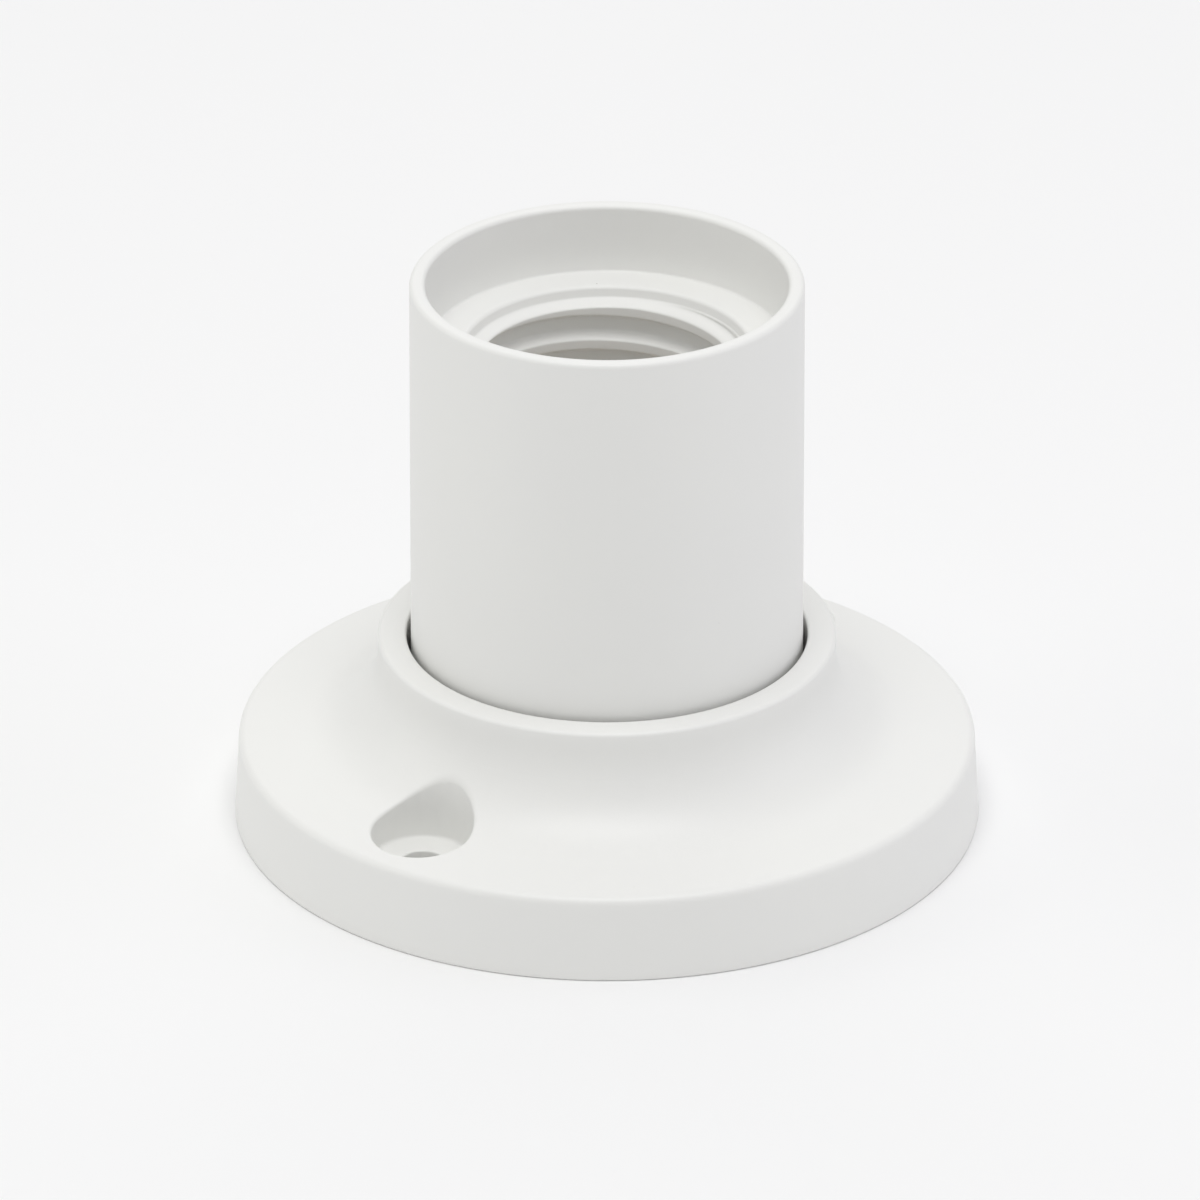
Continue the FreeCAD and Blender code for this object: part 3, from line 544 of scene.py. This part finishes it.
insert, tree, shader, place = new_material("pressed_heat_resistant_insert")
cloud = add(tree, "ShaderNodeTexNoise", {"Vector": place, "Scale": 1 / 5, "Detail": 4})
tint = add(tree, "ShaderNodeMix", {
    "Factor": cloud.outputs["Fac"], 6: linear("#E2DED3"), 7: linear("#D8D3C6"),
}, data_type="RGBA")
tree.links.new(tint.outputs[2], shader.inputs["Base Color"])
powder = add(tree, "ShaderNodeTexNoise", {"Vector": place, "Scale": 1 / 0.3, "Detail": 3})
rough = add(tree, "ShaderNodeBump", {"Height": powder.outputs["Fac"], "Distance": 0.01 * MM})
tree.links.new(rough.outputs["Normal"], shader.inputs["Normal"])
shader.inputs["Roughness"].default_value = 0.6
painted(cad["contact_carrier"], insert)

# ---------------------------------------------------------------------------------------------
# centre_contact_leaf and side_contact: the two springs that touch the lamp's cap. Blanked from
# rolled phosphor bronze strip and bent, so the rolling lines run along the strip and the edges are
# softly broken. The leaf is riveted by its foot and flattens under the lamp.

LEAF_Z = 22.0
LEAF_PATH = [
    (11.2, 0.2, 0), (5.283, 0.2, 0.7), (2.683, 2.8, 0.7), (-2.683, 2.8, 0.5), (-3.66, 1.822, 0),
]
LEAF_SECTION = [(3, 0.2, 0.12), (-3, 0.2, 0.12), (-3, -0.2, 0.12), (3, -0.2, 0.12)]
LEAF_STEP = 0.4


def rolled_metal(name, light, dark, along, sheen):
    """Rolled and blanked strip: fine lines drawn out along the rolling direction, in the roughness
    and the relief, which stretch the highlights across them."""
    made, tree, shader, place = new_material(name)
    drawn = add(tree, "ShaderNodeVectorMath", {0: place, 1: along}, operation="MULTIPLY")
    lines = add(tree, "ShaderNodeTexNoise", {
        "Vector": drawn.outputs["Vector"], "Scale": 1 / 0.12, "Detail": 3,
    })
    tarnish = add(tree, "ShaderNodeTexNoise", {"Vector": place, "Scale": 1 / 2.5, "Detail": 3})
    tint = add(tree, "ShaderNodeMix", {
        "Factor": tarnish.outputs["Fac"], 6: linear(light), 7: linear(dark),
    }, data_type="RGBA")
    tree.links.new(tint.outputs[2], shader.inputs["Base Color"])
    gloss = add(tree, "ShaderNodeMapRange", {
        "Value": lines.outputs["Fac"], "From Min": 0.3, "From Max": 0.7,
        "To Min": sheen - 0.07, "To Max": sheen + 0.07,
    })
    tree.links.new(gloss.outputs["Result"], shader.inputs["Roughness"])
    relief = add(tree, "ShaderNodeBump", {"Height": lines.outputs["Fac"], "Distance": 0.004 * MM})
    tree.links.new(relief.outputs["Normal"], shader.inputs["Normal"])
    shader.inputs["Metallic"].default_value = 1
    return made


def make_leaf():
    """A flat rounded section carried along the bent path, square to it, and closed to a point in the
    middle of each end. Two far points lead the path's ends and are then dropped."""
    path = spaced(rounded([(-60, 0, 0), *LEAF_PATH, (-60, -1, 0)])[1:-1], LEAF_STEP)
    section = rounded(LEAF_SECTION, steps=3)
    way = np.gradient(path, axis=0)
    way /= np.linalg.norm(way, axis=1)[:, None]
    x = path[:, :1] + way[:, 1:] * section[:, 1]
    z = path[:, 1:] - way[:, :1] * section[:, 1]
    body = capped(np.stack([x, section[:, 0] + 0 * x, z + LEAF_Z], -1))
    return body.reshape(-1, 3), strips(numbered(body))


leaf_bronze = rolled_metal("rolled_phosphor_bronze_leaf", "#D9A06A", "#C68B58", (0.05, 1, 1), 0.3)
leaf = painted(new_piece("centre_leaf_spring", *make_leaf()), leaf_bronze)
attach(leaf, "holder")
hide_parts("centre_contact_leaf")
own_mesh(leaf)
strap_bronze = rolled_metal("rolled_phosphor_bronze_strap", "#D9A06A", "#C68B58", (1, 0.05, 0.05), 0.3)
painted(cad["side_contact"], strap_bronze)

# ---------------------------------------------------------------------------------------------
# centre_contact_stud, live_rivet and neutral_rivet: headed from brass wire, so they are smooth and a
# little brighter than the blanked parts beside them. Each is closed over the parts that it joins.

headed_brass = rolled_metal("cold_headed_brass", "#E3C47C", "#D3B168", (1, 1, 1), 0.24)
for node in ("centre_contact_stud", "live_rivet", "neutral_rivet"):
    painted(cad[node], headed_brass)

# ---------------------------------------------------------------------------------------------
# terminal plates: blanked from brass strip and tapped for the terminal screws. They lie in their
# recesses on the carrier's underside, over the rivets.

blanked_brass = rolled_metal("blanked_brass_plate", "#DDBB70", "#C9A55C", (0.05, 1, 1), 0.34)
for side in ("live", "neutral"):
    painted(cad[f"{side}_terminal_plate"], blanked_brass)

# ---------------------------------------------------------------------------------------------
# terminal screws and clamp washers: turned and pressed steel, zinc plated to a bluish, slightly
# mottled grey. Each screw turns in its plate and carries the cup washer that presses the wire.

screw_zinc = rolled_metal("zinc_plated_turned_steel", "#C9CCD0", "#B4B9BF", (1, 1, 1), 0.36)
washer_zinc = rolled_metal("zinc_plated_pressed_steel", "#C4C8CC", "#AEB3B9", (1, 1, 1), 0.42)
for side in ("live", "neutral"):
    painted(cad[f"{side}_terminal_screw"], screw_zinc)
    painted(cad[f"{side}_clamp_washer"], washer_zinc)

# ---------------------------------------------------------------------------------------------
# sleeve_fixing_screws: two self-tapping screws with rolled threads, zinc plated, that hold the
# sleeve to the base from behind.

rolled_zinc = rolled_metal("zinc_plated_rolled_steel", "#C6C9CE", "#B1B6BC", (1, 1, 1), 0.38)
painted(cad["sleeve_fixing_screws"], rolled_zinc)

# ---------------------------------------------------------------------------------------------
# The studio: a plain pale table under a strong soft light high in front, with weaker ones behind,
# left and right, and even light from all round, against plain white. The camera looks down on the
# part from far off, so that its upright sides stay nearly parallel. Lengths are in metres.

FLOOR_HALF = 3
AROUND = 0.465
AZIMUTH = np.radians(-52.1)
ELEVATION = np.radians(26.493)
DISTANCE = 1.01664
FOCAL_LENGTH = 314.22
SENSOR_WIDTH = 36
RIGHT = np.array([np.cos(AZIMUTH), np.sin(AZIMUTH), 0])
FORWARD = np.array([-np.sin(AZIMUTH), np.cos(AZIMUTH), 0])
AIM = RIGHT * -0.000675 + [0, 0, 0.022318]
LAMPS_AT = (0, 0, 0.03)
# name, place, side of the square, watts, colour
LAMPS = [
    ("main", FORWARD * -0.3 + [0, 0, 1.3], 0.8, 7.4, "#FFFFFF"),
    ("behind", FORWARD * 0.6 + [0, 0, 0.75], 0.9, 1.5, "#FFFFFF"),
    ("left", -RIGHT * 0.8 + [0, 0, 0.35], 0.7, 1.08, "#FFFFFA"),
    ("right", RIGHT * 0.8 + [0, 0, 0.35], 0.7, 1.03, "#F3F2FF"),
]

floor_mesh = bpy.data.meshes.new("floor")
floor_mesh.from_pydata([
    (-FLOOR_HALF, -FLOOR_HALF, 0), (FLOOR_HALF, -FLOOR_HALF, 0),
    (FLOOR_HALF, FLOOR_HALF, 0), (-FLOOR_HALF, FLOOR_HALF, 0),
], [], [(0, 1, 2, 3)])
floor = bpy.data.objects.new("floor", floor_mesh)
bpy.context.scene.collection.objects.link(floor)
table, _, shader, _ = new_material("matte_white_table")
shader.inputs["Base Color"].default_value = linear("#F5F5F5")
shader.inputs["Roughness"].default_value = 0.9
shader.inputs["Specular IOR Level"].default_value = 0.1
painted(floor, table)

world = bpy.data.worlds.new("studio")
bpy.context.scene.world = world
world.use_nodes = True
tree = world.node_tree
tree.nodes.clear()
seen = add(tree, "ShaderNodeLightPath")
around = add(tree, "ShaderNodeBackground", {"Color": linear("#FFFFFF"), "Strength": AROUND})
white = add(tree, "ShaderNodeBackground", {"Color": linear("#FFFFFF"), "Strength": 1})
chosen = add(tree, "ShaderNodeMixShader", {
    0: seen.outputs["Is Camera Ray"], 1: around.outputs["Background"], 2: white.outputs["Background"],
})
add(tree, "ShaderNodeOutputWorld", {"Surface": chosen.outputs["Shader"]})


def aimed(name, data, place, at):
    """Puts a lamp or a camera in its place, in metres, turned towards a point."""
    made = bpy.data.objects.new(name, data)
    made.location = place
    made.rotation_euler = (Vector(at) - Vector(place)).to_track_quat("-Z", "Y").to_euler()
    bpy.context.scene.collection.objects.link(made)
    return made


for name, place, size, power, colour in LAMPS:
    lamp = bpy.data.lights.new(name, "AREA")
    lamp.shape = "SQUARE"
    lamp.size = size
    lamp.energy = power
    lamp.color = linear(colour)[:3]
    aimed(name, lamp, place, LAMPS_AT)

lens = bpy.data.cameras.new("camera")
lens.sensor_width = SENSOR_WIDTH
lens.lens = FOCAL_LENGTH
back = -FORWARD * np.cos(ELEVATION) + [0, 0, np.sin(ELEVATION)]
bpy.context.scene.camera = aimed("camera", lens, AIM + back * DISTANCE, AIM)
bpy.context.scene.view_settings.view_transform = "Standard"
